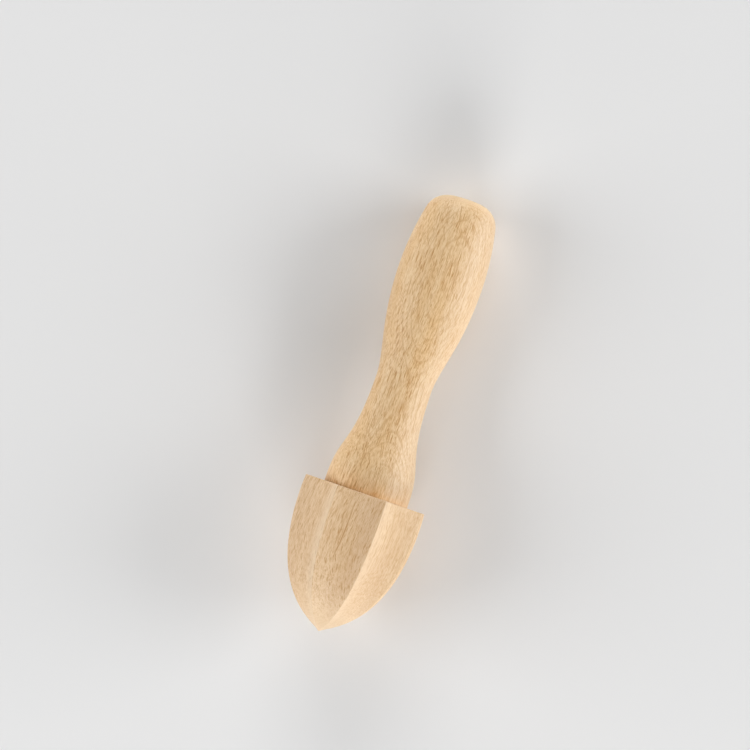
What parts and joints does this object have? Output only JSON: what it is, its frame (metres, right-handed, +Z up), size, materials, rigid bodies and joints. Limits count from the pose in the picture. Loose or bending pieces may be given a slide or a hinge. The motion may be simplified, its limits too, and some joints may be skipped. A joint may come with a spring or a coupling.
{
  "type": "citrus reamer",
  "caption": "Wooden hand reamer for citrus fruit: a pointed head with hollow facets and a flat back, doweled to a waisted, club-shaped handle, lying on its side.",
  "frame": {"origin": "on the table, under the middle of the tool's overall length: the bottom centre of its bounding box as it lies on two ridges of the head and the swell of the grip", "axes": "+X from the tip towards the butt, +Z up, away from the table; the tool's own axis lies in the XZ plane and leans down towards the butt"},
  "size_m": [0.1398, 0.0382, 0.0384],
  "materials": {
    "head_beech": "sanded bare beech, satin, slightly pink",
    "handle_beech": "sanded bare beech, satin, slightly yellow",
    "dowel_beech": "fluted raw beech, matt"
  },
  "bodies": {
    "root": {"reamer_head": "head_beech", "handle": "handle_beech", "joint_dowel": "dowel_beech"}
  },
  "joints": []
}
